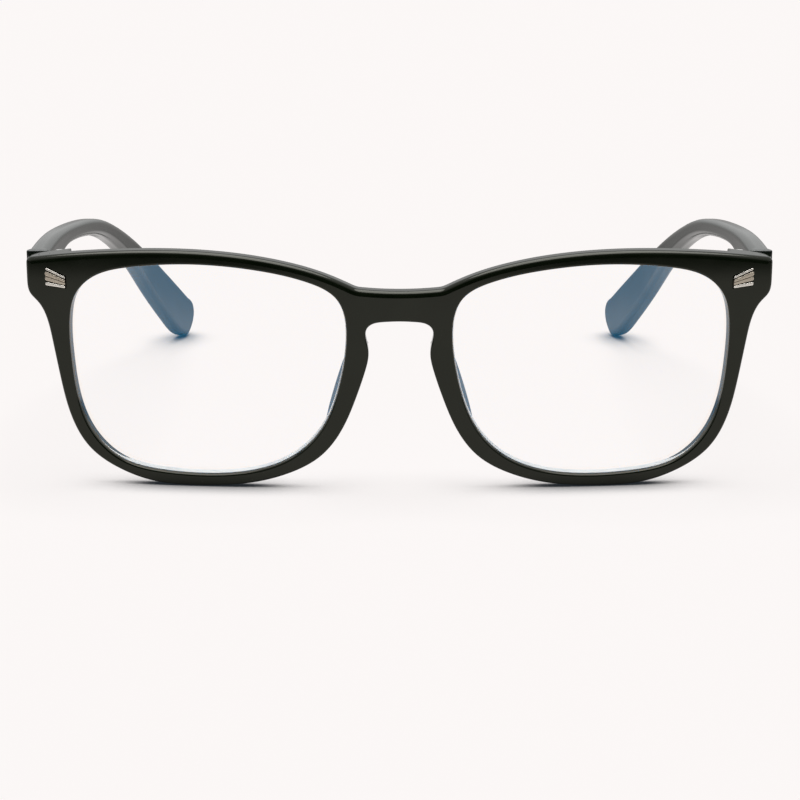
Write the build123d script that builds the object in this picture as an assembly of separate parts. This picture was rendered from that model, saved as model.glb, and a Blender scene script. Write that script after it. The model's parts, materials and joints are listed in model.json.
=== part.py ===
from build123d import *
import math
import os

# Square full-rim glasses standing open on the lower rims and the temple tips.
# X runs across the face, +Y from the front towards the ears, +Z up, in millimetres.
# The wearer's left is +X. The front is drawn upright, with z = 0 at the lowest rim
# point and y = 0 at the face of the bridge, and then tilted into its standing pose.

# ---- front ----
FRONT_TILT = 5.0            # the top of the front leans forward, degrees
FRONT_THICKNESS = 2.9
FACE_RADIUS = 400.0         # curve of the front as seen from above
HALF_WIDTH = 70.5
END_TOP = 44.1
END_BOTTOM = 39.1

BRIDGE_CORNER = (8.0, 39.65)
BRIDGE_TOP_DIP = 39.25
BRIDGE_UNDERSIDE = 33.45
BROW = [BRIDGE_CORNER, (13.2, 42.0), (20.8, 44.3), (30.0, 45.85), (41.0, 46.5), (54.5, 46.0),
        (63.5, 45.1), (HALF_WIDTH, END_TOP)]
LOWER_RIM = [(HALF_WIDTH, END_BOTTOM), (70.1, 37.3), (68.8, 35.9), (67.15, 33.0), (66.15, 28.6),
             (64.75, 20.3), (62.8, 12.4), (59.6, 6.8), (54.0, 2.8), (47.5, 0.55), (38.0, 0.0),
             (29.0, 0.7), (21.0, 2.95), (15.0, 6.5), (10.65, 12.4), (8.1, 18.6), (6.35, 24.0),
             (5.8, 27.5), (6.35, 30.4), (6.3, 31.8), (5.1, 32.95), (3.4, 33.3)]
OPENING_LOWER = [(62.75, 30.0), (62.55, 24.5), (61.95, 18.8), (59.3, 10.6), (53.4, 4.7), (45.0, 2.6),
                 (36.5, 2.25), (27.5, 3.3), (20.0, 6.5), (14.4, 12.6), (11.2, 21.5), (10.3, 26.4),
                 (10.0, 31.0)]
OPENING_UPPER = [(10.0, 31.0), (10.35, 34.5), (11.8, 37.7), (17.3, 40.95), (26.5, 43.05), (38.0, 44.0),
                 (50.5, 43.15), (58.2, 40.75), (61.6, 36.9), (62.5, 33.5), (62.75, 30.0)]

# ---- lenses, held in a groove round each opening ----
LENS_SETBACK = 0.8          # from the face of the front to the face of the lens
LENS_THICKNESS = 1.4
LENS_GAP = 0.06
TONGUE_REACH = 0.6          # how far the lens edge stands into the rim
TONGUE_THICKNESS = 0.8
GROOVE_CLEARANCE = 0.05

# ---- end blocks, where the temples meet the front ----
END_BLOCK_INNER = 62.2
END_BLOCK_BOTTOM = 37.6
END_BLOCK_REAR = 9.6
END_BLOCK_ROOT = 2.2        # the block starts this far behind the face, inside the moulding
JOINT_GAP = 0.15

# ---- hinges ----
HINGE_X = 64.6
HINGE_TOP = 44.7
BARREL_COUNT = 5
BARREL_HEIGHT = 1.3
BARREL_GAP = 0.04
BARREL_RADIUS = 1.4
REAR_FACE_GAP = 0.15        # between the barrels and the end block
SCREW_RADIUS = 0.6
SCREW_CLEARANCE = 0.04
SCREW_HEAD_RADIUS = 1.0
SCREW_HEAD_HEIGHT = 0.7
SCREW_HEAD_SINK = 0.5
SCREW_SLOT = 0.3
ANCHOR_DEPTH = 1.4          # of the front hinge, into the end block
ANCHOR_THICKNESS = 0.8
ANCHOR_HALF_WIDTH = 1.6
ANCHOR_DROP = 0.6           # the anchor ends this far below the top barrel
NECK_HALF_WIDTH = 0.75
LEAF_CLEARANCE = 0.15       # between the barrels and the temple hinge's plate
LEAF_THICKNESS = 1.2
LEAF_DROP = 1.0             # the leaf ends this far below the top barrel
LEAF_START = 0.6            # in front of the hinge axis
LEAF_LENGTH = 5.0

# ---- temples, drawn in the standing pose ----
TEMPLE_OUTER = 70.8
TEMPLE_TOE_IN = 1.2         # degrees at the hinge
TEMPLE_PLAN_RADIUS = 620.0
TEMPLE_THICKNESS = 4.2
TEMPLE_TIP_THICKNESS = 3.2
TEMPLE_EDGE_ROUND = 0.9
TEMPLE_TOP = [(0.0, 44.7), (12.0, 45.0), (22.0, 45.2), (38.0, 44.7), (54.0, 43.2), (68.0, 40.8),
              (82.0, 36.2), (98.5, 29.7), (113.5, 22.6), (132.0, 13.0), (138.5, 9.3)]
TEMPLE_BOTTOM = [(137.5, 0.0), (132.3, 1.6), (126.5, 4.9), (109.5, 16.0), (96.0, 24.9), (82.0, 32.0),
                 (68.0, 36.8), (54.0, 39.4), (40.0, 40.9), (28.0, 41.0), (18.0, 39.3), (0.0, 36.9)]
TIP_POINT = (142.2, 5.3)

# ---- steel core wire inside each temple ----
WIRE_HEIGHT = 1.8
WIRE_THICKNESS = 1.0
WIRE_PATH = [(18.0, 42.4), (36.0, 42.7), (54.0, 41.2), (68.0, 38.6), (82.0, 33.9), (98.5, 26.2),
             (113.5, 17.8), (127.0, 10.0)]

# ---- nose pads, cemented behind the nasal rims ----
PAD_CENTRE = (9.8, 19.8)
PAD_LEAN = 17.0             # the pad's long axis leans out towards its lower end
PAD_SPLAY = 15.0            # the pad opens outwards towards the rear
PAD_HALF_LENGTH = 10.5
PAD_DEPTH = 5.8
PAD_THICKNESS = 2.5
PAD_ROOT = 1.0
PAD_ROUND = 0.9

# ---- metal wing plaques set into the front ----
PLAQUE_CENTRE = (64.85, 40.45)
PLAQUE_HALF_WIDTH = 1.8
PLAQUE_THICKNESS = 0.7
PLAQUE_PROUD = 0.25
PLAQUE_MARGIN = 0.12
PLAQUE_PIN_RADIUS = 0.4
PLAQUE_PIN_LENGTH = 1.0
# each feather: outer end (low, high) and inner end (low, high), and its height
FEATHERS = [((1.65, 2.05), (0.05, 0.45), 0.0),
            ((0.55, 1.35), (-0.55, -0.15), 0.08),
            ((-0.45, 0.45), (-1.2, -0.65), 0.0),
            ((-1.35, -0.7), (-1.75, -1.3), 0.1)]
FEATHER_STEP = 0.3

# ---- working sizes, larger than what they shape ----
LAYER_HALF_WIDTH = 80.0
LAYER_MARGIN = 10.0
PLAN_BAND_HEIGHT = 60.0

SIDES = (("left", 1), ("right", -1))


def for_side(shape, side):
    """Shapes are drawn for the wearer's left and mirrored for the right."""
    return shape if side > 0 else mirror(shape, Plane.YZ)


# ---------------------------------------------------------------- the front

def front_surface_y(x):
    """Depth of the front's outer surface at a distance from the middle."""
    return FACE_RADIUS - math.sqrt(FACE_RADIUS ** 2 - x ** 2)


def layer_edge(depth):
    """Plan arc of the front's surface, at a depth behind the face."""
    radius = FACE_RADIUS - depth
    points = []
    for x in (-LAYER_HALF_WIDTH, 0, LAYER_HALF_WIDTH):
        points.append((x, FACE_RADIUS - math.sqrt(radius ** 2 - x ** 2), 0))
    return ThreePointArc(*points)


def curved_layer(near, far):
    """The curved layer between two depths behind the outer surface."""
    near_edge = layer_edge(near)
    far_edge = layer_edge(far)
    right = Line(near_edge @ 0, far_edge @ 0)
    left = Line(near_edge @ 1, far_edge @ 1)
    section = make_face([near_edge, left, far_edge, right])
    height = END_TOP + 3 * LAYER_MARGIN
    return extrude(Pos(0, 0, -LAYER_MARGIN) * section, amount=height, dir=(0, 0, 1))


def on_face(points):
    return [(x, 0, z) for x, z in points]


def through_front(face):
    """Extrude a face that lies in the XZ plane right through the front."""
    depth = END_BLOCK_REAR + 2 * LAYER_MARGIN
    return extrude(Pos(0, -LAYER_MARGIN, 0) * face, amount=depth, dir=(0, 1, 0))


def silhouette():
    brow = Spline(*on_face(BROW))
    end = Line((HALF_WIDTH, 0, END_TOP), (HALF_WIDTH, 0, END_BOTTOM))
    lower = Spline(*on_face(LOWER_RIM))
    half = [brow, end, lower]
    other_half = [mirror(edge, Plane.YZ) for edge in half]
    corner_x, corner_z = BRIDGE_CORNER
    top = ThreePointArc((-corner_x, 0, corner_z), (0, 0, BRIDGE_TOP_DIP), (corner_x, 0, corner_z))
    root_x, root_z = LOWER_RIM[-1]
    under = ThreePointArc((-root_x, 0, root_z), (0, 0, BRIDGE_UNDERSIDE), (root_x, 0, root_z))
    return make_face(half + other_half + [top, under])


def grown(points, grow):
    """The opening's points moved outwards, so that its width and height grow by twice the amount."""
    xs = [x for x, _ in OPENING_LOWER + OPENING_UPPER]
    zs = [z for _, z in OPENING_LOWER + OPENING_UPPER]
    middle_x = (min(xs) + max(xs)) / 2
    middle_z = (min(zs) + max(zs)) / 2
    stretch_x = 1 + 2 * grow / (max(xs) - min(xs))
    stretch_z = 1 + 2 * grow / (max(zs) - min(zs))
    offsets = [(x - middle_x, z - middle_z) for x, z in points]
    return [(middle_x + x * stretch_x, middle_z + z * stretch_z) for x, z in offsets]


def opening(side, grow=0.0):
    lower = Spline(*on_face(grown(OPENING_LOWER, grow)))
    upper = Spline(*on_face(grown(OPENING_UPPER, grow)))
    return for_side(make_face([lower, upper]), side)


def end_block(side, outline):
    """Flat-backed block behind each upper outer corner, carrying the hinge."""
    start = front_surface_y(END_BLOCK_INNER) + END_BLOCK_ROOT
    width = HALF_WIDTH - END_BLOCK_INNER
    height = END_TOP + 1 - END_BLOCK_BOTTOM
    block = Box(width, END_BLOCK_REAR - start, height, align=(Align.MIN, Align.MIN, Align.MIN))
    block = Pos(END_BLOCK_INNER, start, END_BLOCK_BOTTOM) * block
    return for_side(block & through_front(outline), side)


def moulding_layer(outline, near, far, grow):
    """One layer of the front, with both openings cut grow larger than their outline."""
    layer = through_front(outline) & curved_layer(near, far)
    for _, side in SIDES:
        layer = layer - through_front(opening(side, grow))
    return layer


def front_moulding():
    """Three layers, the middle one with wider openings, leave a groove for the lens edge."""
    outline = silhouette()
    middle = LENS_SETBACK + LENS_THICKNESS / 2
    half = TONGUE_THICKNESS / 2 + GROOVE_CLEARANCE
    body = moulding_layer(outline, 0, middle - half, 0)
    body = body + moulding_layer(outline, middle - half, middle + half, TONGUE_REACH + GROOVE_CLEARANCE)
    body = body + moulding_layer(outline, middle + half, FRONT_THICKNESS, 0)
    for _, side in SIDES:
        body = body + end_block(side, outline) - plaque_pocket(side)
    return body


# ---------------------------------------------------------------- the lenses

def lens(side):
    near = LENS_SETBACK
    far = LENS_SETBACK + LENS_THICKNESS
    middle = (near + far) / 2
    body = through_front(opening(side, -LENS_GAP)) & curved_layer(near, far)
    tongue_layer = curved_layer(middle - TONGUE_THICKNESS / 2, middle + TONGUE_THICKNESS / 2)
    tongue = through_front(opening(side, TONGUE_REACH)) & tongue_layer
    return body + tongue


# ---------------------------------------------------------------- the plaques

def plaque_plane():
    """Local frame of the left plaque: X outwards, Y up the face, Z out of the face."""
    x, z = PLAQUE_CENTRE
    centre = Vector(x, front_surface_y(x), z)
    across = Vector(x + 1, front_surface_y(x + 1), z) - centre
    return Plane(origin=centre, x_dir=across, z_dir=across.cross(Vector(0, 0, 1)))


def tapered_strip(outer, inner, inset=0.0):
    """A four-cornered face given by its (low, high) heights at its outer and inner ends."""
    half = PLAQUE_HALF_WIDTH - inset
    corners = [(half, outer[1] - inset), (-half, inner[1] - inset),
               (-half, inner[0] + inset), (half, outer[0] + inset)]
    return make_face(Polyline(*corners, close=True))


def plaque_pins():
    down = (Align.CENTER, Align.CENTER, Align.MAX)
    pin = Cylinder(PLAQUE_PIN_RADIUS, PLAQUE_PIN_LENGTH, align=down)
    floor = PLAQUE_PROUD - PLAQUE_THICKNESS
    return [Pos(end * PLAQUE_HALF_WIDTH / 2, 0, floor) * pin for end in (-1, 1)]


def plaque_span():
    """Heights of the whole plaque at its outer and inner ends."""
    top_outer, top_inner, _ = FEATHERS[0]
    low_outer, low_inner, _ = FEATHERS[-1]
    return (low_outer[0], top_outer[1]), (low_inner[0], top_inner[1])


def plaque(side):
    floor = PLAQUE_PROUD - PLAQUE_THICKNESS
    outer, inner = plaque_span()
    base = tapered_strip(outer, inner, FEATHER_STEP / 2)
    solid = Pos(0, 0, floor) * extrude(base, amount=PLAQUE_THICKNESS - FEATHER_STEP)
    for outer, inner, lift in FEATHERS:
        feather = extrude(tapered_strip(outer, inner), amount=PLAQUE_THICKNESS + lift)
        solid = solid + Pos(0, 0, floor) * feather
    for pin in plaque_pins():
        solid = solid + pin
    return for_side(plaque_plane() * solid, side)


def plaque_pocket(side):
    floor = PLAQUE_PROUD - PLAQUE_THICKNESS
    outer, inner = plaque_span()
    face = tapered_strip(outer, inner, -PLAQUE_MARGIN)
    pocket = Pos(0, 0, floor) * extrude(face, amount=PLAQUE_THICKNESS * 3)
    for pin in plaque_pins():
        pocket = pocket + pin
    return for_side(plaque_plane() * pocket, side)


# ---------------------------------------------------------------- the nose pads

def nose_pad(side):
    """A splayed half-oval plate with rounded edges, cemented to the rear of the rim."""
    lean = math.radians(PAD_LEAN)
    splay = math.radians(PAD_SPLAY)
    x, z = PAD_CENTRE
    along = Vector(-math.sin(lean), 0, math.cos(lean))
    back = Vector(math.cos(lean) * math.sin(splay), math.cos(splay), math.sin(lean) * math.sin(splay))
    origin = Vector(x, front_surface_y(x) + FRONT_THICKNESS, z)
    oval = Ellipse(PAD_HALF_LENGTH, PAD_DEPTH)
    root = Rectangle(2 * PAD_HALF_LENGTH, PAD_DEPTH, align=(Align.CENTER, Align.MAX))
    face = oval - Pos(0, -PAD_ROOT) * root
    plate = extrude(face, amount=PAD_THICKNESS / 2, both=True)
    rim_edges = plate.edges().filter_by(GeomType.ELLIPSE)
    plate = fillet(rim_edges, PAD_ROUND)
    frame = Plane(origin=origin, x_dir=along, z_dir=along.cross(back))
    plate = frame * plate
    return for_side(plate - curved_layer(-PAD_DEPTH, FRONT_THICKNESS), side)


# ---------------------------------------------------------------- standing pose

REST_DEPTH = front_surface_y(LOWER_RIM[10][0])


def standing(shape):
    """Tilt an upright front piece about the line where the rims rest."""
    return shape.rotate(Axis((0, REST_DEPTH, 0), (1, 0, 0)), FRONT_TILT)


def end_block_rear(height):
    """Depth of the end block's flat rear face in the standing pose, at a height."""
    tilt = math.radians(FRONT_TILT)
    behind = END_BLOCK_REAR - REST_DEPTH
    upright_height = (height - behind * math.sin(tilt)) / math.cos(tilt)
    return REST_DEPTH + behind * math.cos(tilt) - upright_height * math.sin(tilt)


STACK_HEIGHT = BARREL_COUNT * BARREL_HEIGHT + (BARREL_COUNT - 1) * BARREL_GAP
HINGE_BOTTOM = HINGE_TOP - STACK_HEIGHT
HINGE_Y = end_block_rear(HINGE_BOTTOM) + REAR_FACE_GAP + BARREL_RADIUS


# ---------------------------------------------------------------- the hinges

def barrel_bottoms(first):
    """Lower ends of every second barrel of the stack, starting with number first."""
    step = BARREL_HEIGHT + BARREL_GAP
    return [HINGE_BOTTOM + step * number for number in range(first, BARREL_COUNT, 2)]


def standing_box(x_range, y_range, z_range):
    size = [high - low for low, high in (x_range, y_range, z_range)]
    box = Box(*size, align=(Align.MIN, Align.MIN, Align.MIN))
    return Pos(x_range[0], y_range[0], z_range[0]) * box


def barrels(first):
    up = (Align.CENTER, Align.CENTER, Align.MIN)
    solids = []
    for bottom in barrel_bottoms(first):
        barrel = Cylinder(BARREL_RADIUS, BARREL_HEIGHT, align=up)
        solids.append(Pos(HINGE_X, HINGE_Y, bottom) * barrel)
    return solids


def hinge_bore():
    """Everything that the screw passes through is cut with this."""
    up = (Align.CENTER, Align.CENTER, Align.MIN)
    bore = Cylinder(SCREW_RADIUS + SCREW_CLEARANCE, STACK_HEIGHT + 2, align=up)
    sink = Cylinder(SCREW_HEAD_RADIUS + SCREW_CLEARANCE, SCREW_HEAD_SINK + 1, align=up)
    cut = Pos(HINGE_X, HINGE_Y, HINGE_BOTTOM - 1) * bore
    return cut + Pos(HINGE_X, HINGE_Y, HINGE_TOP - SCREW_HEAD_SINK) * sink


def front_anchor():
    """The part of the front hinge that is moulded into the end block."""
    face = end_block_rear((HINGE_TOP + HINGE_BOTTOM) / 2)
    inner = face - ANCHOR_DEPTH
    plate = standing_box((HINGE_X - ANCHOR_HALF_WIDTH, HINGE_X + ANCHOR_HALF_WIDTH),
                         (inner, inner + ANCHOR_THICKNESS), (HINGE_BOTTOM, HINGE_TOP - ANCHOR_DROP))
    for bottom in barrel_bottoms(0):
        top = min(bottom + BARREL_HEIGHT, HINGE_TOP - ANCHOR_DROP)
        plate = plate + standing_box((HINGE_X - NECK_HALF_WIDTH, HINGE_X + NECK_HALF_WIDTH),
                                     (inner, HINGE_Y), (bottom, top))
    return plate


def front_hinge(side):
    solid = front_anchor()
    for barrel in barrels(0):
        solid = solid + barrel
    return for_side(solid - hinge_bore(), side)


def temple_leaf():
    """The plate of the temple hinge, let into the temple's inner face."""
    near = HINGE_X + BARREL_RADIUS + LEAF_CLEARANCE
    return standing_box((near, near + LEAF_THICKNESS), (HINGE_Y - LEAF_START, HINGE_Y + LEAF_LENGTH),
                        (barrel_bottoms(1)[0], HINGE_TOP - LEAF_DROP))


def temple_hinge(side):
    solid = temple_leaf()
    outer = HINGE_X + BARREL_RADIUS + LEAF_CLEARANCE + LEAF_THICKNESS
    for bottom in barrel_bottoms(1):
        solid = solid + standing_box((HINGE_X, outer), (HINGE_Y, HINGE_Y + BARREL_RADIUS),
                                     (bottom, bottom + BARREL_HEIGHT))
    for barrel in barrels(1):
        solid = solid + barrel
    return for_side(solid - hinge_bore(), side)


def hinge_screw(side):
    up = (Align.CENTER, Align.CENTER, Align.MIN)
    seat = HINGE_TOP - SCREW_HEAD_SINK
    shank = Pos(0, 0, HINGE_BOTTOM) * Cylinder(SCREW_RADIUS, seat - HINGE_BOTTOM, align=up)
    head = Pos(0, 0, seat) * Cylinder(SCREW_HEAD_RADIUS, SCREW_HEAD_HEIGHT, align=up)
    down = (Align.CENTER, Align.CENTER, Align.MAX)
    slot = Box(3 * SCREW_HEAD_RADIUS, SCREW_SLOT, SCREW_SLOT, align=down)
    head = head - Pos(0, 0, seat + SCREW_HEAD_HEIGHT) * slot
    return for_side(Pos(HINGE_X, HINGE_Y, 0) * (shank + head), side)


# ---------------------------------------------------------------- the temples

def plan_x(y, inset):
    """Sideways place of a line that runs inset inside the temple's outer face."""
    toe_in = math.radians(TEMPLE_TOE_IN)
    centre_x = TEMPLE_OUTER - TEMPLE_PLAN_RADIUS * math.cos(toe_in)
    centre_y = HINGE_Y - TEMPLE_PLAN_RADIUS * math.sin(toe_in)
    radius = TEMPLE_PLAN_RADIUS - inset
    return centre_x + math.sqrt(radius ** 2 - (y - centre_y) ** 2)


def plan_band(inset, thickness, end_thickness, start, end):
    """Upright solid between two gently curved walls, seen from above as the temple's plan."""
    middle = (start + end) / 2
    mean = (thickness + end_thickness) / 2
    outer = ThreePointArc(*[(plan_x(y, inset), y, 0) for y in (start, middle, end)])
    walls = ((start, thickness), (middle, mean), (end, end_thickness))
    inner = ThreePointArc(*[(plan_x(y, inset + wall), y, 0) for y, wall in walls])
    near = Line(outer @ 0, inner @ 0)
    far = Line(outer @ 1, inner @ 1)
    face = make_face([outer, far, inner, near])
    below = Pos(0, 0, -PLAN_BAND_HEIGHT / 2)
    return extrude(below * face, amount=PLAN_BAND_HEIGHT * 2, dir=(0, 0, 1))


def across_temple(face):
    """Extrude a face that lies in the YZ plane across the temple."""
    return extrude(Pos(TEMPLE_OUTER / 2, 0, 0) * face, amount=TEMPLE_OUTER, dir=(1, 0, 0))


def temple_side():
    top = Spline(*[(0, y, z) for y, z in TEMPLE_TOP])
    bottom = Spline(*[(0, y, z) for y, z in TEMPLE_BOTTOM])
    tip = ThreePointArc(top @ 1, (0, *TIP_POINT), bottom @ 0)
    front = Line(bottom @ 1, top @ 0)
    return make_face([top, tip, bottom, front])


def temple(side):
    band = plan_band(0, TEMPLE_THICKNESS, TEMPLE_TIP_THICKNESS, -1, TIP_POINT[0] + 1)
    body = across_temple(temple_side()) & band
    long_edges = body.edges().filter_by(lambda e: abs((e @ 0).Y - (e @ 1).Y) > 2)
    body = fillet(long_edges, TEMPLE_EDGE_ROUND)
    butt = END_BLOCK_REAR + JOINT_GAP
    cutter = Pos(0, butt, 0) * Box(4 * HALF_WIDTH, 50, 200, align=(Align.CENTER, Align.MAX, Align.CENTER))
    body = body - standing(cutter)
    body = body - temple_leaf() - core_wire(1)
    return for_side(body, side)


def core_wire(side):
    half = WIRE_HEIGHT / 2
    top = Spline(*[(0, y, z + half) for y, z in WIRE_PATH])
    bottom = Spline(*[(0, y, z - half) for y, z in WIRE_PATH])
    face = make_face([top, Line(top @ 1, bottom @ 1), bottom, Line(bottom @ 0, top @ 0)])
    inset = (TEMPLE_THICKNESS - WIRE_THICKNESS) / 2
    band = plan_band(inset, WIRE_THICKNESS, WIRE_THICKNESS, 0, TIP_POINT[0])
    return for_side(across_temple(face) & band, side)


# ---------------------------------------------------------------- assembly

def build():
    nodes = {}
    front = standing(front_moulding())
    for _, side in SIDES:
        front = front - for_side(front_anchor(), side)
    nodes["front_frame"] = front
    for name, side in SIDES:
        nodes[f"lens_{name}"] = standing(lens(side))
        nodes[f"nose_pad_{name}"] = standing(nose_pad(side))
        nodes[f"wing_plaque_{name}"] = standing(plaque(side))
        nodes[f"front_hinge_{name}"] = front_hinge(side)
        nodes[f"hinge_screw_{name}"] = hinge_screw(side)
        nodes[f"temple_hinge_{name}"] = temple_hinge(side)
        nodes[f"temple_{name}"] = temple(side)
        nodes[f"core_wire_{name}"] = core_wire(side)
    return nodes


def main():
    os.makedirs("parts", exist_ok=True)
    nodes = build()
    whole = Compound(children=[shape.solids()[0] for shape in nodes.values()]).bounding_box()
    back = (whole.min.Y + whole.max.Y) / 2
    for name, shape in nodes.items():
        export_step(Pos(0, -back, -whole.min.Z) * shape, f"parts/{name}.step")
    print("hinge axis at", round(HINGE_X, 4), round(HINGE_Y - back, 4))
    print("whole size", whole.size)


main()
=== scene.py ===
import json
import math

import bmesh
import bpy
import numpy as np
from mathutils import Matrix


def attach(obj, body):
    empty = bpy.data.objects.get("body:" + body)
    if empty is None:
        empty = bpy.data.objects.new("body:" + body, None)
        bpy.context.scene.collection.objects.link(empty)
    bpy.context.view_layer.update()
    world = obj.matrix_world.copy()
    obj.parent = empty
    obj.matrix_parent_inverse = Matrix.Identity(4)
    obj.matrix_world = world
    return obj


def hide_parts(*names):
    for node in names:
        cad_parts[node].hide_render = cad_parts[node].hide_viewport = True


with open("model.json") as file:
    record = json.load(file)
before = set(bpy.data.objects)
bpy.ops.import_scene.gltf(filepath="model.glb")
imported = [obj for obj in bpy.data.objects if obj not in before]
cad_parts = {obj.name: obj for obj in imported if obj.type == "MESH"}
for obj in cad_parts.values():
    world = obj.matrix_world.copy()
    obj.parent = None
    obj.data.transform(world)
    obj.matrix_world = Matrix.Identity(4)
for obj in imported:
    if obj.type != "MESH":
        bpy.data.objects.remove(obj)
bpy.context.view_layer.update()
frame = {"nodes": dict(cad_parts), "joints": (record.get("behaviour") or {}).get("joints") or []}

# Square full-rim glasses standing open on a white table.
# Outlines are drawn in millimetres, in the same upright and standing positions as the solid
# model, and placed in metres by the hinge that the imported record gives.

MM = 0.001

# ---------------------------------------------------------------- dimensions, as in the solid model

FRONT_TILT = math.radians(5.0)
FRONT_THICKNESS = 2.9
FACE_RADIUS = 400.0
HALF_WIDTH = 70.5
END_TOP = 44.1
BROW = [(8.0, 39.65), (13.2, 42.0), (20.8, 44.3), (30.0, 45.85), (41.0, 46.5), (54.5, 46.0),
        (63.5, 45.1), (HALF_WIDTH, END_TOP)]
LOWER_RIM = [(HALF_WIDTH, 39.1), (70.1, 37.3), (68.8, 35.9), (67.15, 33.0), (66.15, 28.6),
             (64.75, 20.3), (62.8, 12.4), (59.6, 6.8), (54.0, 2.8), (47.5, 0.55), (38.0, 0.0),
             (29.0, 0.7), (21.0, 2.95), (15.0, 6.5), (10.65, 12.4), (8.1, 18.6), (6.35, 24.0),
             (5.8, 27.5), (6.35, 30.4), (6.3, 31.8), (5.1, 32.95), (3.4, 33.3)]
BRIDGE_TOP = [(-8.0, 39.65), (-4.0, 39.35), (0.0, 39.25), (4.0, 39.35), (8.0, 39.65)]
BRIDGE_UNDERSIDE = [(3.4, 33.3), (0.0, 33.45), (-3.4, 33.3)]
OPENING = [(62.75, 30.0), (62.55, 24.5), (61.95, 18.8), (59.3, 10.6), (53.4, 4.7), (45.0, 2.6),
           (36.5, 2.25), (27.5, 3.3), (20.0, 6.5), (14.4, 12.6), (11.2, 21.5), (10.3, 26.4),
           (10.0, 31.0), (10.35, 34.5), (11.8, 37.7), (17.3, 40.95), (26.5, 43.05), (38.0, 44.0),
           (50.5, 43.15), (58.2, 40.75), (61.6, 36.9), (62.5, 33.5)]
END_BLOCK_INNER = 62.2
END_BLOCK_BOTTOM = 37.6
END_BLOCK_REAR = 9.6
END_BLOCK_ROOT = 2.2
JOINT_GAP = 0.15

HINGE_BOTTOM = 38.04
BARREL_CLEAR = 1.55          # from the end block to the hinge axis

TEMPLE_OUTER = 70.8
TEMPLE_TOE_IN = math.radians(1.2)
TEMPLE_PLAN_RADIUS = 620.0
TEMPLE_THICKNESS = 4.2
TEMPLE_TIP_THICKNESS = 3.2
TEMPLE_TOP = [(0.0, 44.9), (12.0, 45.5), (22.0, 45.6), (38.0, 44.6), (54.0, 42.9), (68.0, 40.5),
              (82.0, 36.5), (98.5, 30.1), (113.5, 22.9), (132.0, 13.0), (138.5, 9.3)]
TEMPLE_TIP = [(138.5, 9.3), (141.3, 7.6), (142.2, 5.3), (141.0, 2.3), (137.5, 0.0)]
TEMPLE_BOTTOM = [(137.5, 0.0), (132.3, 1.6), (126.5, 4.9), (109.5, 16.0), (96.0, 24.9),
                 (82.0, 32.0), (68.0, 36.8), (54.0, 39.4), (40.0, 40.9), (28.0, 41.0),
                 (18.0, 39.3), (0.0, 36.9)]

PAD_CENTRE = (9.8, 19.8)
PAD_LEAN = math.radians(17.0)
PAD_SPLAY = math.radians(15.0)
PAD_HALF_LENGTH = 10.5
PAD_DEPTH = 5.8
PAD_THICKNESS = 2.5
PAD_FULLNESS = 0.75          # below one, the oval is fuller towards its ends
PAD_DROP = 0.5
PAD_BOW = 0.35
PAD_ROOT = 0.6               # how far the pad reaches into the front's rear

PLAQUE_CENTRE = (64.85, 40.45)
PLAQUE_HALF_WIDTH = 1.8
PLAQUE_THICKNESS = 0.7
PLAQUE_PROUD = 0.25
PLAQUE_MARGIN = 0.12
PLAQUE_BASE = 0.35           # thickness of the dark base under the feathers
PLAQUE_OUTLINE = [(1.8, 2.05), (-1.8, 0.45), (-1.8, -1.75), (1.8, -1.35)]
# each feather: outer end (low, high), inner end (low, high), height, and how far its tip bulges
FEATHERS = [((1.62, 2.05), (0.05, 0.45), 0.02, 0.12),
            ((0.50, 1.35), (-0.60, -0.15), 0.10, 0.28),
            ((-0.45, 0.47), (-1.2, -0.62), 0.04, 0.28),
            ((-1.35, -0.7), (-1.75, -1.3), 0.12, 0.22)]

# rounding that the moulded and polished edges have
FRONT_EDGE_ROUND = 0.45
BROW_EDGE_ROUND = 1.2        # the front edge along the top is rounder
BLOCK_FRONT_ROUND = 0.3
BLOCK_REAR_ROUND = 0.35
BUTT_EDGE_ROUND = 0.2
BUTT_EDGE_REACH = (0.4, 2.9)  # behind the end block, where the arm's rounding grows
ARM_EDGE_ROUND = 1.5
PAD_EDGE_ROUND = 1.05
POCKET_EDGE_ROUND = 0.1

# the bright ground edge of each lens, seen inside the rim
BEVEL_DEPTH = (1.0, 2.7)
BEVEL_WIDTH = 0.12
BEVEL_SUNK = 0.05            # into the wall of the opening
SIDES = (("left", 1), ("right", -1))


def upright_depth(x, depth=0.0):
    """Depth, in the upright front, of a layer that lies depth behind the curved outer face."""
    return FACE_RADIUS - np.sqrt((FACE_RADIUS - depth) ** 2 - x ** 2)


REST_DEPTH = float(upright_depth(38.0))


def block_rear(height):
    """Depth of the end block's flat rear in the standing pose, at a height."""
    behind = END_BLOCK_REAR - REST_DEPTH
    upright = (height - behind * math.sin(FRONT_TILT)) / math.cos(FRONT_TILT)
    return REST_DEPTH + behind * math.cos(FRONT_TILT) - upright * math.sin(FRONT_TILT)


HINGE_Y = block_rear(HINGE_BOTTOM) + BARREL_CLEAR
fold = next(j for j in frame["joints"] if j["name"] == "left_temple_fold")
BACK = fold["pos_m"][1] - HINGE_Y * MM


def standing(p):
    """Standing millimetres to the row frame in metres."""
    return np.asarray(p, float) * MM + (0, BACK, 0)


def tilted(p):
    """Upright millimetres of the front to the row frame in metres."""
    p = np.asarray(p, float)
    y = p[..., 1] - REST_DEPTH
    c, s = math.cos(FRONT_TILT), math.sin(FRONT_TILT)
    stood = np.stack([p[..., 0], REST_DEPTH + y * c - p[..., 2] * s, y * s + p[..., 2] * c], -1)
    return standing(stood)


# ---------------------------------------------------------------- curves

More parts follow.
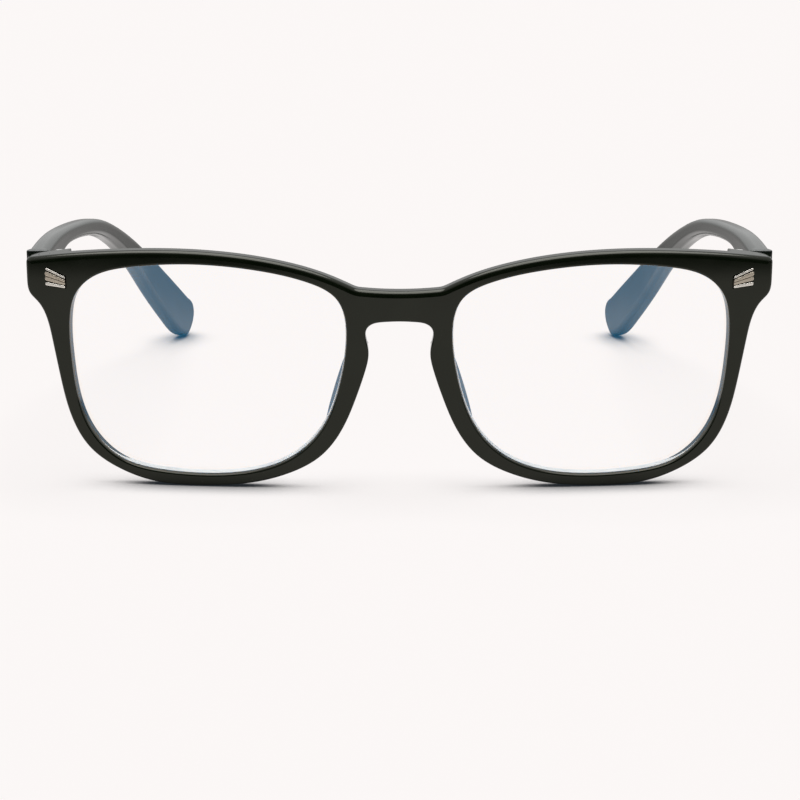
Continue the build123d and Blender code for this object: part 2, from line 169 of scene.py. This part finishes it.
def curve_through(points, closed=False, step=0.35):
    """A smooth curve through the points, sampled about every step millimetres."""
    p = np.array(points, float)
    first, last = 0, len(p) - 1
    if closed:
        p = np.vstack([p[-4:], p, p[:5]])
        first, last = 4, len(p) - 5
    t = np.concatenate([[0], np.cumsum(np.linalg.norm(np.diff(p, axis=0), axis=1))])
    h = np.diff(t)
    a = np.eye(len(t))
    b = np.zeros_like(p)
    for i in range(1, len(t) - 1):
        a[i, i - 1:i + 2] = h[i - 1], 2 * (h[i - 1] + h[i]), h[i]
        b[i] = 6 * ((p[i + 1] - p[i]) / h[i] - (p[i] - p[i - 1]) / h[i - 1])
    bend = np.linalg.solve(a, b)
    count = max(2, int((t[last] - t[first]) / step) + 1)
    at = np.linspace(t[first], t[last], count)
    k = np.clip(np.searchsorted(t, at, side="right") - 1, 0, len(h) - 1)
    u, v, w = (at - t[k])[:, None], (t[k + 1] - at)[:, None], h[k][:, None]
    curve = (bend[k] * v ** 3 + bend[k + 1] * u ** 3) / (6 * w)
    curve += (p[k] / w - bend[k] * w / 6) * v + (p[k + 1] / w - bend[k + 1] * w / 6) * u
    return curve[:-1] if closed else curve


def area(loop):
    x, z = loop[:, 0], loop[:, 1]
    return 0.5 * float(np.sum(x * np.roll(z, -1) - np.roll(x, -1) * z))


def ring(loop, step=0.35, soften=0.3, hole=False):
    """An evenly spaced closed loop with softened corners and the material on its left."""
    loop = np.asarray(loop, float)
    gaps = np.linalg.norm(np.roll(loop, -1, axis=0) - loop, axis=1)
    loop = loop[gaps > 1e-6]
    closed = np.vstack([loop, loop[:1]])
    t = np.concatenate([[0], np.cumsum(np.linalg.norm(np.diff(closed, axis=0), axis=1))])
    count = int(t[-1] / step)
    at = np.linspace(0, t[-1], count, endpoint=False)
    even = np.stack([np.interp(at, t, closed[:, k]) for k in (0, 1)], -1)
    frequency = np.fft.fftfreq(count, t[-1] / count)
    damping = np.exp(-2 * (np.pi * frequency * soften) ** 2)[:, None]
    even = np.real(np.fft.ifft(np.fft.fft(even, axis=0) * damping, axis=0))
    if (area(even) < 0) != hole:
        even = even[::-1]
    return even


def outward_of(loop):
    """Unit normals of a loop, away from the material."""
    along = np.roll(loop, -1, axis=0) - np.roll(loop, 1, axis=0)
    along /= np.linalg.norm(along, axis=1)[:, None]
    return np.column_stack([along[:, 1], -along[:, 0]])


# ---------------------------------------------------------------- mesh code

def slab(name, loops, thickness, place, round_near, round_far, segments=5, pockets=(),
         pocket_depth=0.5, converge=0.0):
    """A plate of any plan outline with rounded edges, bent into its place.

    loops are closed plan outlines, the first outside and the others holes. round_near and
    round_far give the edge rounding, one value or one for each point of the outer loop.
    place maps (u, v, depth) arrays in millimetres to the row frame in metres. converge turns
    the walls of the holes towards u = 0 with depth, so that they stay square to a curved face.
    """
    flat, normals, bands = [], [], []

    def add_ring(points, outward, inset, depth, lean, face, turn=0.0):
        start = sum(len(part) for part in flat)
        moved = points - outward * np.reshape(inset, (-1, 1))
        depth = np.broadcast_to(np.asarray(depth, float), (len(points),))
        face = face + outward[:, 0] * lean * moved[:, 0] * turn
        moved[:, 0] *= 1 - depth * turn
        flat.append(np.column_stack([moved, depth]))
        normals.append(np.column_stack([outward * lean, face]))
        return start

    def quarter(count):
        """Sine and cosine pairs from the wall to the face of a rounded edge."""
        angles = [math.pi / 2 * k / count for k in range(count + 1)]
        return [(math.cos(a), math.sin(a)) for a in angles]

    def add_bands(starts, points):
        bands.extend((a, b, len(points)) for a, b in zip(starts, starts[1:]))

    near_caps, far_caps, pocket_caps = [], [], []
    for number, points in enumerate(loops):
        outward = outward_of(points)
        near = np.asarray(round_near, float)
        far = np.asarray(round_far, float)
        turn = 0.0
        if number:
            near, far, turn = near.min(), far.min(), converge
        starts = []
        for lean, face in reversed(quarter(segments)):
            starts.append(add_ring(points, outward, near * (1 - lean), near * (1 - face),
                                   lean, -face, turn))
        for lean, face in quarter(segments):
            starts.append(add_ring(points, outward, far * (1 - lean),
                                   thickness - far * (1 - face), lean, face, turn))
        add_bands(starts, points)
        near_caps.append((starts[0], len(points)))
        far_caps.append((starts[-1], len(points)))
    for points in pockets:
        outward = outward_of(points)
        starts = []
        for lean, face in reversed(quarter(3)):
            starts.append(add_ring(points, outward, POCKET_EDGE_ROUND * (1 - lean),
                                   POCKET_EDGE_ROUND * (1 - face), lean, -face))
        starts.append(add_ring(points, outward, 0, pocket_depth, 1, 0))
        add_bands(starts, points)
        near_caps.append((starts[0], len(points)))
        pocket_caps.append([(starts[-1], len(points))])

    flat = np.vstack(flat)
    normals = np.vstack(normals)
    bm = bmesh.new()
    verts = [bm.verts.new(p) for p in flat]
    for a, b, count in bands:
        for i in range(count):
            j = (i + 1) % count
            bm.faces.new((verts[a + i], verts[a + j], verts[b + j], verts[b + i]))
    for caps in [near_caps, far_caps] + pocket_caps:
        edges = []
        for start, count in caps:
            for i in range(count):
                edges.append(bm.edges.get((verts[start + i], verts[start + (i + 1) % count])))
        bmesh.ops.triangle_fill(bm, use_beauty=True, use_dissolve=False, edges=edges,
                                normal=(0, 0, 1))
    bmesh.ops.recalc_face_normals(bm, faces=bm.faces[:])
    mesh = bpy.data.meshes.new(name)
    bm.to_mesh(mesh)
    bm.free()

    u, v, d = flat.T
    placed = place(u, v, d)
    step = 1e-3              # for the placing's slopes, which turn the plan normals
    du = (place(u + step, v, d) - placed) / step
    dv = (place(u, v + step, d) - placed) / step
    dd = (place(u, v, d + step) - placed) / step
    turned = (normals[:, :1] * np.cross(dv, dd) + normals[:, 1:2] * np.cross(dd, du)
              + normals[:, 2:] * np.cross(du, dv))
    handed = np.sign(np.sum(np.cross(du, dv) * dd, axis=1)).mean()
    turned *= handed
    turned /= np.linalg.norm(turned, axis=1)[:, None]
    mesh.vertices.foreach_set("co", placed.ravel())
    if handed < 0:
        mesh.flip_normals()
    mesh.update()
    mesh.polygons.foreach_set("use_smooth", [True] * len(mesh.polygons))
    mesh.normals_split_custom_set_from_vertices([tuple(n) for n in turned])
    piece = bpy.data.objects.new(name, mesh)
    bpy.context.scene.collection.objects.link(piece)
    return piece


def join(pieces, name):
    """One object from several, keeping their materials and normals."""
    bpy.ops.object.select_all(action="DESELECT")
    for piece in pieces:
        piece.select_set(True)
    bpy.context.view_layer.objects.active = pieces[0]
    bpy.ops.object.join()
    pieces[0].name = name
    return pieces[0]


# ---------------------------------------------------------------- materials

NOISE_SPREAD = (0.3, 0.7)    # where nearly all of a noise texture's values lie


def new_material(name, **sockets):
    """A Principled material; returns the material, its nodes, its links and the shader."""
    material = bpy.data.materials.new(name)
    material.use_nodes = True
    nodes, links = material.node_tree.nodes, material.node_tree.links
    shader = nodes["Principled BSDF"]
    for key, value in sockets.items():
        shader.inputs[key.replace("_", " ")].default_value = value
    return material, nodes, links, shader


def noise(nodes, links, scale, detail=2.0, stretch=(1, 1, 1)):
    """Procedural noise in object space, scale in cycles for each metre."""
    where = nodes.new("ShaderNodeTexCoord")
    mapping = nodes.new("ShaderNodeMapping")
    mapping.inputs["Scale"].default_value = stretch
    texture = nodes.new("ShaderNodeTexNoise")
    texture.inputs["Scale"].default_value = scale
    texture.inputs["Detail"].default_value = detail
    links.new(where.outputs["Object"], mapping.inputs["Vector"])
    links.new(mapping.outputs["Vector"], texture.inputs["Vector"])
    return texture.outputs["Fac"]


def coordinate(nodes, links, output, axis):
    """One axis of a texture coordinate."""
    where = nodes.new("ShaderNodeTexCoord")
    split = nodes.new("ShaderNodeSeparateXYZ")
    links.new(where.outputs[output], split.inputs["Vector"])
    return split.outputs[axis]


def maths(nodes, links, operation, first, second):
    node = nodes.new("ShaderNodeMath")
    node.operation = operation
    links.new(first, node.inputs[0])
    links.new(second, node.inputs[1])
    return node.outputs["Value"]


def fade(nodes, links, source, start, end, low=0.0, high=1.0, smooth=False):
    """A value that goes from low to high as the source goes from start to end."""
    node = nodes.new("ShaderNodeMapRange")
    if smooth:
        node.interpolation_type = "SMOOTHSTEP"
    node.inputs["From Min"].default_value = start
    node.inputs["From Max"].default_value = end
    node.inputs["To Min"].default_value = low
    node.inputs["To Max"].default_value = high
    links.new(source, node.inputs["Value"])
    return node.outputs["Result"]


def ramp(nodes, links, source, stops):
    """Colours along a value; stops are (place, colour) pairs in order."""
    node = nodes.new("ShaderNodeValToRGB")
    elements = node.color_ramp.elements
    elements[0].position, elements[1].position = stops[0][0], stops[-1][0]
    elements[0].color, elements[1].color = (*stops[0][1], 1), (*stops[-1][1], 1)
    for place, colour in stops[1:-1]:
        elements.new(place).color = (*colour, 1)
    links.new(source, node.inputs["Fac"])
    return node.outputs["Color"]


def blend(nodes, links, factor, first, second, mode="MIX"):
    """Two colours mixed; each value is a socket or fixed."""
    node = nodes.new("ShaderNodeMix")
    node.data_type = "RGBA"
    node.blend_type = mode
    for key, value in (("Factor", factor), ("A", first), ("B", second)):
        if isinstance(value, bpy.types.NodeSocket):
            links.new(value, node.inputs[key])
        else:
            node.inputs[key].default_value = value
    return node.outputs["Result"]


def ranged(nodes, links, source, low, high):
    """Noise spread between two values."""
    return fade(nodes, links, source, *NOISE_SPREAD, low, high)


def coloured(nodes, links, source, low, high):
    """Noise spread between two colours."""
    return ramp(nodes, links, source, list(zip(NOISE_SPREAD, (low, high))))


def bumped(nodes, links, shader, source, strength, distance):
    node = nodes.new("ShaderNodeBump")
    node.inputs["Strength"].default_value = strength
    node.inputs["Distance"].default_value = distance
    links.new(source, node.inputs["Height"])
    links.new(node.outputs["Normal"], shader.inputs["Normal"])


def polished_plastic(name, dark, light, rough, ior, satin=None, tint=(1, 1, 1, 1)):
    """Moulded and tumbled plastic: slight mottling, fine orange peel and handling haze.

    satin is (start, end, roughness) along Y, where the polish gives way to a satin ear end.
    """
    material, nodes, links, shader = new_material(name, IOR=ior, Specular_Tint=tint)
    mottle = noise(nodes, links, 260, 3)
    links.new(coloured(nodes, links, mottle, dark, light), shader.inputs["Base Color"])
    haze = ranged(nodes, links, noise(nodes, links, 90, 5), rough * 0.75, rough * 1.35)
    if satin:
        start, end, more = satin
        along = coordinate(nodes, links, "Object", "Y")
        along = fade(nodes, links, along, start, end, 0.0, more, smooth=True)
        haze = maths(nodes, links, "ADD", along, haze)
    links.new(haze, shader.inputs["Roughness"])
    bumped(nodes, links, shader, noise(nodes, links, 420, 1), 0.05, 0.00003)
    return material


def brushed_metal(name, dark, light, rough, stretch, scale=2600):
    """Metal with fine drawn lines along one direction."""
    material, nodes, links, shader = new_material(name, Metallic=1.0)
    lines = noise(nodes, links, scale, 4, stretch)
    links.new(coloured(nodes, links, lines, dark, light), shader.inputs["Base Color"])
    links.new(ranged(nodes, links, lines, rough * 0.8, rough * 1.3), shader.inputs["Roughness"])
    bumped(nodes, links, shader, lines, 0.25, 0.00001)
    return material


def coated_lens(name):
    """Clear lens whose coating reflects blue and passes the rest, so it is neutral on white."""
    material = bpy.data.materials.new(name)
    material.use_nodes = True
    nodes, links = material.node_tree.nodes, material.node_tree.links
    nodes.clear()
    output = nodes.new("ShaderNodeOutputMaterial")
    both = nodes.new("ShaderNodeAddShader")
    through = nodes.new("ShaderNodeBsdfTransparent")
    mirror = nodes.new("ShaderNodeBsdfAnisotropic")
    shadow = nodes.new("ShaderNodeMixShader")
    clear = nodes.new("ShaderNodeBsdfTransparent")
    light_path = nodes.new("ShaderNodeLightPath")
    through.inputs["Color"].default_value = (0.999, 0.965, 0.925, 1)
    mirror.inputs["Color"].default_value = (0.001, 0.035, 0.075, 1)
    mirror.inputs["Roughness"].default_value = 0.0
    links.new(through.outputs["BSDF"], both.inputs[0])
    links.new(mirror.outputs["BSDF"], both.inputs[1])
    links.new(light_path.outputs["Is Shadow Ray"], shadow.inputs["Fac"])
    links.new(both.outputs["Shader"], shadow.inputs[1])
    links.new(clear.outputs["BSDF"], shadow.inputs[2])
    links.new(shadow.outputs["Shader"], output.inputs["Surface"])
    return material


FRAME_PLASTIC = polished_plastic("front_plastic", (0.0022, 0.0042, 0.0014),
                                 (0.0040, 0.0064, 0.0030), 0.09, 1.37, tint=(1, 1, 0.87, 1))
TEMPLE_PLASTIC = polished_plastic("temple_plastic", (0.0070, 0.0118, 0.0078),
                                  (0.0105, 0.0160, 0.0115), 0.12, 1.50,
                                  satin=(0.015, 0.045, 0.30))
PAD_PLASTIC = polished_plastic("pad_plastic", (0.085, 0.090, 0.094), (0.105, 0.110, 0.115),
                               0.18, 1.50)
PLAQUE_METAL = brushed_metal("plaque_metal", (0.53, 0.47, 0.38), (0.66, 0.59, 0.48),
                             0.26, (0.35, 1, 1.6))
# a lighter copy of the plaque metal: painted highlight on the top and bottom feathers
PLAQUE_PAINTED_HIGHLIGHT = brushed_metal("plaque_painted_highlight", (0.82, 0.78, 0.70), (0.95, 0.92, 0.85),
                              0.22, (0.35, 1, 1.6))
RECESS_METAL = brushed_metal("plaque_recess", (0.006, 0.005, 0.004), (0.03, 0.022, 0.015),
                             0.55, (1, 1, 1))
HINGE_STEEL = brushed_metal("hinge_steel", (0.50, 0.50, 0.49), (0.72, 0.72, 0.70),
                            0.26, (1, 1, 6), 1200)
SCREW_STEEL = brushed_metal("screw_steel", (0.58, 0.58, 0.57), (0.80, 0.80, 0.79),
                            0.20, (1, 1, 1), 1800)
WIRE_STEEL = brushed_metal("wire_steel", (0.45, 0.45, 0.45), (0.62, 0.62, 0.62),
                           0.30, (4, 0.2, 4), 1200)
LENS_COATED = coated_lens("lens_coated")
LENS_EDGE = polished_plastic("lens_edge", (0.78, 0.80, 0.80), (0.90, 0.91, 0.90), 0.35, 1.50)


def finish_piece(piece, material, body, slot, *nodes):
    if material is not None:
        piece.data.materials.clear()
        piece.data.materials.append(material)
    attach(piece, body)
    if nodes:
        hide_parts(*nodes)


def repaint(node, material):
    mesh = frame["nodes"][node].data
    mesh.materials.clear()
    mesh.materials.append(material)


# ---------------------------------------------------------------- front moulding

def front_place(u, v, d):
    return tilted(np.stack([u, upright_depth(u, d), v], -1))


def block_place(side):
    """The end block's depth is measured from just behind the face, straight back."""
    root = float(upright_depth(END_BLOCK_INNER)) + END_BLOCK_ROOT

    def place(u, v, d):
        return tilted(np.stack([side * u, root + d, v], -1))
    return place, END_BLOCK_REAR - root


def mirrored(points):
    return [(-x, z) for x, z in reversed(points)]


def front_outline():
    brow = curve_through(BROW)
    lower = curve_through(LOWER_RIM)
    half = np.vstack([brow, lower, curve_through(BRIDGE_UNDERSIDE)])
    other = np.vstack([curve_through(mirrored(LOWER_RIM)), curve_through(mirrored(BROW)),
                       curve_through(BRIDGE_TOP)])
    return np.vstack([half, other])


def pocket_outline(side):
    x, z = PLAQUE_CENTRE
    grow = 1 + PLAQUE_MARGIN / PLAQUE_HALF_WIDTH
    points = []
    for a, b in PLAQUE_OUTLINE:
        points.append((side * (x + a * grow), z + b + math.copysign(PLAQUE_MARGIN, b - 0.2)))
    return ring(points, step=0.12, soften=0.14, hole=True)


opening = curve_through(OPENING, closed=True)
loops = [ring(front_outline(), soften=0.5)]
for _, side in SIDES:
    loops.append(ring(opening * (side, 1), soften=0.3, hole=True))
upward = np.clip((outward_of(loops[0])[:, 1] - 0.3) / 0.5, 0, 1)
near_round = FRONT_EDGE_ROUND + (BROW_EDGE_ROUND - FRONT_EDGE_ROUND) * upward
front = slab("front_moulding", loops, FRONT_THICKNESS, front_place, near_round, FRONT_EDGE_ROUND,
             pockets=[pocket_outline(side) for _, side in SIDES], converge=1 / FACE_RADIUS)
outline = loops[0]
corner = outline[(outline[:, 0] > END_BLOCK_INNER) & (outline[:, 1] > END_BLOCK_BOTTOM)]
jumps = np.linalg.norm(corner - np.roll(corner, 1, axis=0), axis=1)
corner = np.roll(corner, -int(np.argmax(jumps)), axis=0)
corner = np.vstack([corner, (END_BLOCK_INNER, corner[-1][1]), (END_BLOCK_INNER, END_BLOCK_BOTTOM)])
parts = [front]
for name, side in SIDES:
    place, depth = block_place(side)
    parts.append(slab(f"end_block_{name}", [ring(corner, soften=0.12)], depth, place,
                      BLOCK_FRONT_ROUND, BLOCK_REAR_ROUND))
front = join(parts, "front_moulding")
finish_piece(front, FRAME_PLASTIC, "front", "frame_plastic", "front_frame")

# ---------------------------------------------------------------- bright edges of the lenses

def bevel_place(u, v, d):
    return front_place(u, v, d + BEVEL_DEPTH[0])


for name, side in SIDES:
    rim = ring(opening * (side, 1), soften=0.3)
    outward = outward_of(rim)
    inner = rim - outward * BEVEL_WIDTH
    bevel = slab(f"lens_edge_{name}", [rim + outward * BEVEL_SUNK, inner[::-1]],
                 BEVEL_DEPTH[1] - BEVEL_DEPTH[0], bevel_place, 0.06, 0.06, segments=3)
    finish_piece(bevel, LENS_EDGE, "front", "lens_clear")

# ---------------------------------------------------------------- temples

def temple_place(side):
    centre_x = TEMPLE_OUTER - TEMPLE_PLAN_RADIUS * math.cos(TEMPLE_TOE_IN)
    centre_y = HINGE_Y - TEMPLE_PLAN_RADIUS * math.sin(TEMPLE_TOE_IN)

    def place(u, v, d):
        taper = 1 + (TEMPLE_TIP_THICKNESS / TEMPLE_THICKNESS - 1) * u / TEMPLE_TIP[2][0]
        radius = TEMPLE_PLAN_RADIUS - d * taper
        x = centre_x + np.sqrt(radius ** 2 - (u - centre_y) ** 2)
        return standing(np.stack([side * x, u, v], -1))
    return place


def temple_outline():
    """Side view of the temple, cut off where it meets the end block's tilted rear."""
    top = curve_through(TEMPLE_TOP)
    bottom = curve_through(TEMPLE_BOTTOM)
    tip = curve_through(TEMPLE_TIP)
    whole = np.vstack([top, tip, bottom])
    butt = np.array([block_rear(z) + JOINT_GAP / math.cos(FRONT_TILT) for z in whole[:, 1]])
    kept = whole[whole[:, 0] > butt + 0.05]
    ends = [(block_rear(z) + JOINT_GAP, z) for z in (kept[-1][1], kept[0][1])]
    return ring(np.vstack([kept, ends]), soften=0.22)


outline = temple_outline()
butt_gap = outline[:, 0] - np.array([block_rear(z) for z in outline[:, 1]])
growth = (butt_gap - BUTT_EDGE_REACH[0]) / (BUTT_EDGE_REACH[1] - BUTT_EDGE_REACH[0])
growth = np.clip(growth, 0, 1)
growth = growth * growth * (3 - 2 * growth)
rounding = BUTT_EDGE_ROUND + (ARM_EDGE_ROUND - BUTT_EDGE_ROUND) * growth
for name, side in SIDES:
    arm = slab(f"temple_arm_{name}", [outline], TEMPLE_THICKNESS, temple_place(side),
               rounding, rounding, segments=8)
    finish_piece(arm, TEMPLE_PLASTIC, f"{name}_temple", "temple_plastic", f"temple_{name}")

# ---------------------------------------------------------------- nose pads

def pad_place(side):
    x, z = PAD_CENTRE
    along = np.array([-math.sin(PAD_LEAN), 0, math.cos(PAD_LEAN)])
    back = np.array([math.cos(PAD_LEAN) * math.sin(PAD_SPLAY), math.cos(PAD_SPLAY),
                     math.sin(PAD_LEAN) * math.sin(PAD_SPLAY)])
    across = np.cross(along, back)
    origin = np.array([x, float(upright_depth(x)) + FRONT_THICKNESS, z])

    def place(u, v, d):
        bow = PAD_BOW * (1 - (u / PAD_HALF_LENGTH) ** 2)
        local = origin + u[:, None] * along + v[:, None] * back
        local = local + (d - PAD_THICKNESS / 2 + bow)[:, None] * across
        return tilted(local * (side, 1, 1))
    return place


turn = np.linspace(0, math.pi, 90)
oval = np.column_stack([PAD_HALF_LENGTH * np.cos(turn), PAD_DEPTH * np.sin(turn) ** PAD_FULLNESS])
oval = np.vstack([oval, (-PAD_HALF_LENGTH, -PAD_ROOT), (PAD_HALF_LENGTH, -PAD_ROOT)])
oval = ring(oval - (PAD_DROP, 0), soften=0.5)
for name, side in SIDES:
    pad = slab(f"pad_{name}", [oval], PAD_THICKNESS, pad_place(side),
               PAD_EDGE_ROUND, PAD_EDGE_ROUND, segments=8)
    finish_piece(pad, PAD_PLASTIC, "front", "pad_plastic", f"nose_pad_{name}")

# ---------------------------------------------------------------- wing plaques

def plaque_place(side, height):
    """Local u outwards, v up the face, depth measured down from height above the face."""
    x, z = PLAQUE_CENTRE
    slope = x / math.sqrt(FACE_RADIUS ** 2 - x ** 2)
    across = np.array([1, slope, 0]) / math.hypot(1, slope)
    inwards = np.array([-across[1], across[0], 0])
    origin = np.array([x, float(upright_depth(x)), z])

    def place(u, v, d):
        local = origin + u[:, None] * across + v[:, None] * np.array([0, 0, 1.0])
        local = local + (d - height)[:, None] * inwards
        return tilted(local * (side, 1, 1))
    return place


def feather_outline(outer, inner, bulge):
    middle, half_height = (outer[0] + outer[1]) / 2, (outer[1] - outer[0]) / 2
    tip = [(PLAQUE_HALF_WIDTH + bulge * math.sin(a), middle - half_height * math.cos(a))
           for a in np.linspace(0, math.pi, 9)]
    root = [(-PLAQUE_HALF_WIDTH, inner[1]), (-PLAQUE_HALF_WIDTH, inner[0])]
    return ring(tip + root, step=0.06, soften=0.06)


PLAQUE_FLOOR = PLAQUE_PROUD - PLAQUE_THICKNESS
for name, side in SIDES:
    base = slab(f"plaque_base_{name}", [ring(PLAQUE_OUTLINE, step=0.1, soften=0.1)], PLAQUE_BASE,
                plaque_place(side, PLAQUE_FLOOR + PLAQUE_BASE + 0.02), 0.08, 0.08, segments=3)
    base.data.materials.append(RECESS_METAL)
    parts = [base]
    for number, (outer, inner, lift, bulge) in enumerate(FEATHERS):
        top = PLAQUE_PROUD + lift
        feather = slab(f"feather_{number}_{name}", [feather_outline(outer, inner, bulge)],
                       top - PLAQUE_FLOOR - 0.1, plaque_place(side, top), 0.13, 0.05, segments=4)
        # the top and bottom feathers carry the painted highlight
        feather.data.materials.append(PLAQUE_PAINTED_HIGHLIGHT if number in (0, 3) else PLAQUE_METAL)
        parts.append(feather)
    plaque = join(parts, f"plaque_{name}")
    finish_piece(plaque, None, "front", "plaque_metal", f"wing_plaque_{name}")

# ---------------------------------------------------------------- pieces kept from the solid model

for name, _ in SIDES:
    repaint(f"lens_{name}", LENS_COATED)
    repaint(f"front_hinge_{name}", HINGE_STEEL)
    repaint(f"temple_hinge_{name}", HINGE_STEEL)
    repaint(f"hinge_screw_{name}", SCREW_STEEL)
    repaint(f"core_wire_{name}", WIRE_STEEL)

# ---------------------------------------------------------------- table, light and camera

TABLE_HALF = 4.0
TABLE_TONE = ((0.199, 0.192, 0.190), (0.201, 0.194, 0.192))
SHEET_COLOUR = (0.965, 0.931, 0.922, 1)
SHEET_GLOW = 0.803           # the sheet is backlit, so that arms cast no broad shadows on it
PAINTED_REFLECTION_REACH = (0.178, 0.192)  # where blurred reflections of the sheet turn to painted dark reflection in front
PAINTED_REFLECTION_SHAPE = (0.63, 1, 1)   # the painted reflection's edge is an oval, wider than deep
ROOM_DARK = (0.02, 0.02, 0.02)
PAINTED_SHADOW_REACH = 0.012        # painted shadow: only what is this near darkens the sheet's colour and glow
PAINTED_SHADOW_COLOUR = (0.02, 0.025, 0.03, 1)
PAINTED_SHADOW_FADE = (0.30, 0.88)
AMBIENT = 0.05
SKY_SIDES = [(0.14, ROOM_DARK), (0.36, (1, 1, 1))]    # from the camera's side to the far side
SKY_HEIGHTS = [(0.0, (0.45, 0.45, 0.45)), (0.10, (0.8, 0.8, 0.8)), (0.30, (1, 1, 1))]
SUN_ENERGY = 2.83
SUN_ANGLE = math.radians(50)
SUN_LEAN = math.radians(-4)
CAMERA_DISTANCE = 0.480
CAMERA_HEIGHT = 0.1347
CAMERA_PITCH = math.radians(13.73)
CAMERA_LENS = 116.9
CAMERA_SHIFT = 0.0007


def table_paint():
    """A white sheet with painted shadow close to what touches it; blurred reflections see a painted
    dark reflection in front of and behind the glasses.
    """
    material, nodes, links, shader = new_material("table_paint", Roughness=0.9,
                                                  Specular_IOR_Level=0.0,
                                                  Emission_Strength=SHEET_GLOW)
    # painted shadow: ambient occlusion darkens the sheet's colour and glow close to what touches it
    painted_shadow_ao = nodes.new("ShaderNodeAmbientOcclusion")
    painted_shadow_ao.samples = 12
    painted_shadow_ao.inputs["Distance"].default_value = PAINTED_SHADOW_REACH
    outside_painted_shadow = fade(nodes, links, painted_shadow_ao.outputs["AO"], *PAINTED_SHADOW_FADE, smooth=True)
    tone = coloured(nodes, links, noise(nodes, links, 6, 2), *TABLE_TONE)
    for colour, socket in ((tone, "Base Color"), (SHEET_COLOUR, "Emission Color")):
        links.new(blend(nodes, links, outside_painted_shadow, PAINTED_SHADOW_COLOUR, colour), shader.inputs[socket])

    # painted reflection: blurred reflections see the sheet dark in front of and behind the glasses,
    # though camera rays see it white
    where = nodes.new("ShaderNodeTexCoord")
    mapping = nodes.new("ShaderNodeMapping")
    mapping.inputs["Scale"].default_value = PAINTED_REFLECTION_SHAPE
    length = nodes.new("ShaderNodeVectorMath")
    length.operation = "LENGTH"
    links.new(where.outputs["Object"], mapping.inputs["Vector"])
    links.new(mapping.outputs["Vector"], length.inputs[0])
    past = fade(nodes, links, length.outputs["Value"], *PAINTED_REFLECTION_REACH, smooth=True)
    depth = coordinate(nodes, links, "Object", "Y")
    painted_reflection_ahead = maths(nodes, links, "MULTIPLY", past, fade(nodes, links, depth, -0.05, -0.15))
    behind = fade(nodes, links, depth, 0.08, 0.12, 0.0, 0.6)
    seen = nodes.new("ShaderNodeLightPath")
    blurred = maths(nodes, links, "SUBTRACT", seen.outputs["Is Glossy Ray"],
                    seen.outputs["Is Singular Ray"])
    painted_reflection_mask = maths(nodes, links, "MAXIMUM", painted_reflection_ahead, behind)
    # the colour of the painted dark reflection
    dark = nodes.new("ShaderNodeBsdfDiffuse")
    dark.inputs["Color"].default_value = (*ROOM_DARK, 1)
    mix = nodes.new("ShaderNodeMixShader")
    links.new(maths(nodes, links, "MULTIPLY", painted_reflection_mask, blurred), mix.inputs["Fac"])
    links.new(shader.outputs["BSDF"], mix.inputs[1])
    links.new(dark.outputs["BSDF"], mix.inputs[2])
    links.new(mix.outputs["Shader"], nodes["Material Output"].inputs["Surface"])
    return material


def table():
    bm = bmesh.new()
    bmesh.ops.create_grid(bm, x_segments=8, y_segments=8, size=TABLE_HALF)
    mesh = bpy.data.meshes.new("table_top")
    bm.to_mesh(mesh)
    bm.free()
    mesh.materials.append(table_paint())
    top = bpy.data.objects.new("table_top", mesh)
    bpy.context.scene.collection.objects.link(top)
    top.location = (0, 0, -0.0001)


def studio():
    """White room with a soft overhead light; the side behind the camera is dark."""
    world = bpy.data.worlds.new("studio")
    world.use_nodes = True
    nodes, links = world.node_tree.nodes, world.node_tree.links
    side = fade(nodes, links, coordinate(nodes, links, "Generated", "Y"), -1, 1)
    height = coordinate(nodes, links, "Generated", "Z")
    room = blend(nodes, links, 1.0, ramp(nodes, links, side, SKY_SIDES),
                 ramp(nodes, links, height, SKY_HEIGHTS), "MULTIPLY")
    seen = nodes.new("ShaderNodeLightPath")
    room = blend(nodes, links, seen.outputs["Is Camera Ray"], room, (1, 1, 1, 1))
    room = blend(nodes, links, seen.outputs["Is Diffuse Ray"], room,
                 (AMBIENT, AMBIENT, AMBIENT, 1))
    links.new(room, nodes["Background"].inputs["Color"])
    bpy.context.scene.world = world
    sun = bpy.data.lights.new("overhead", "SUN")
    sun.energy = SUN_ENERGY
    sun.angle = SUN_ANGLE
    lamp = bpy.data.objects.new("overhead", sun)
    lamp.rotation_euler = (SUN_LEAN, 0, 0)
    bpy.context.scene.collection.objects.link(lamp)


def camera():
    data = bpy.data.cameras.new("camera")
    data.sensor_width = 36
    data.lens = CAMERA_LENS
    data.clip_start, data.clip_end = 0.01, 20
    data.shift_x = CAMERA_SHIFT
    view = bpy.data.objects.new("camera", data)
    view.location = (0, BACK - CAMERA_DISTANCE, CAMERA_HEIGHT)
    view.rotation_euler = (math.radians(90) - CAMERA_PITCH, 0, 0)
    bpy.context.scene.collection.objects.link(view)
    bpy.context.scene.camera = view


table()
studio()
camera()
bpy.context.scene.view_settings.view_transform = "Standard"
bpy.context.scene.view_settings.look = "None"
